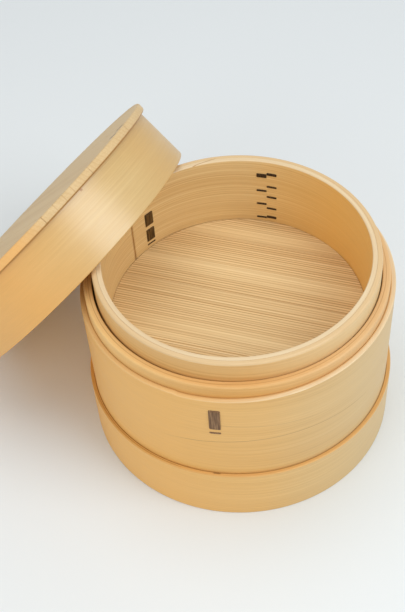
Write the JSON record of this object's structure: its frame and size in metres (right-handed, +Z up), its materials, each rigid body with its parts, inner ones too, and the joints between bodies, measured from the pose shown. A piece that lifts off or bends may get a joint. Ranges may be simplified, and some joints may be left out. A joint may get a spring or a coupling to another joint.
{
  "type": "bentwood steamer",
  "caption": "Round bentwood steamer: a body of sewn hoops, a boarded basket that lifts out of it, and a boarded lid that leans on the basket's rim.",
  "frame": {"origin": "on the body's axis at table level, at the mouth of the skirt", "axes": "+Z up along the body's axis, +X to the right, front stitch towards -Y"},
  "size_m": [0.3833, 0.3396, 0.2256],
  "materials": {
    "hoop_wood": "planed pale softwood, bare and satin",
    "rim_wood": "planed pale softwood, bare and satin",
    "floor_wood": "straight-grained softwood board, bare",
    "lid_wood": "straight-grained softwood board, bare",
    "inside_wood": "softwood, bare",
    "bark": "dark bark strip, dull",
    "peg_wood": "split bamboo peg, dull"
  },
  "bodies": {
    "body": {"outer_hoop": "hoop_wood", "bottom_hoop": "hoop_wood", "body_hoop": "hoop_wood", "rest_hoop": "inside_wood", "rest_hoop_pegs": "peg_wood", "outer_hoop_stitch": "bark", "bottom_hoop_stitch": "bark", "body_hoop_stitch": "bark"},
    "basket": {"basket_outer_layer": "rim_wood", "basket_inner_layer": "rim_wood", "basket_side_stitch": "bark", "basket_back_stitches": "bark", "ledge_hoop": "inside_wood", "ledge_hoop_pegs": "peg_wood", "floor_pegs": "peg_wood", "floor_batten_1": "inside_wood", "floor_batten_2": "inside_wood", "floor_board_1": "floor_wood", "floor_board_2": "floor_wood", "floor_board_3": "floor_wood", "floor_board_4": "floor_wood", "floor_board_5": "floor_wood", "floor_board_6": "floor_wood", "floor_board_7": "floor_wood"},
    "lid": {"lid_hoop": "hoop_wood", "lid_inner_hoop": "inside_wood", "lid_hoop_stitch": "bark", "lid_batten_pegs": "peg_wood", "lid_rim_pegs": "peg_wood", "lid_batten_1": "inside_wood", "lid_batten_2": "inside_wood", "lid_board_1": "lid_wood", "lid_board_2": "lid_wood", "lid_board_3": "lid_wood", "lid_board_4": "lid_wood", "lid_board_5": "lid_wood"}
  },
  "joints": [
    {"name": "basket_lift", "type": "slide", "parent": "body", "child": "basket", "axis": [0, 0, 1], "range_m": [0, 0.11]},
    {"name": "lid_lift", "type": "slide", "parent": "basket", "child": "lid", "axis": [-0.6523, 0.3966, 0.6459], "range_m": [0, 0.12]}
  ]
}
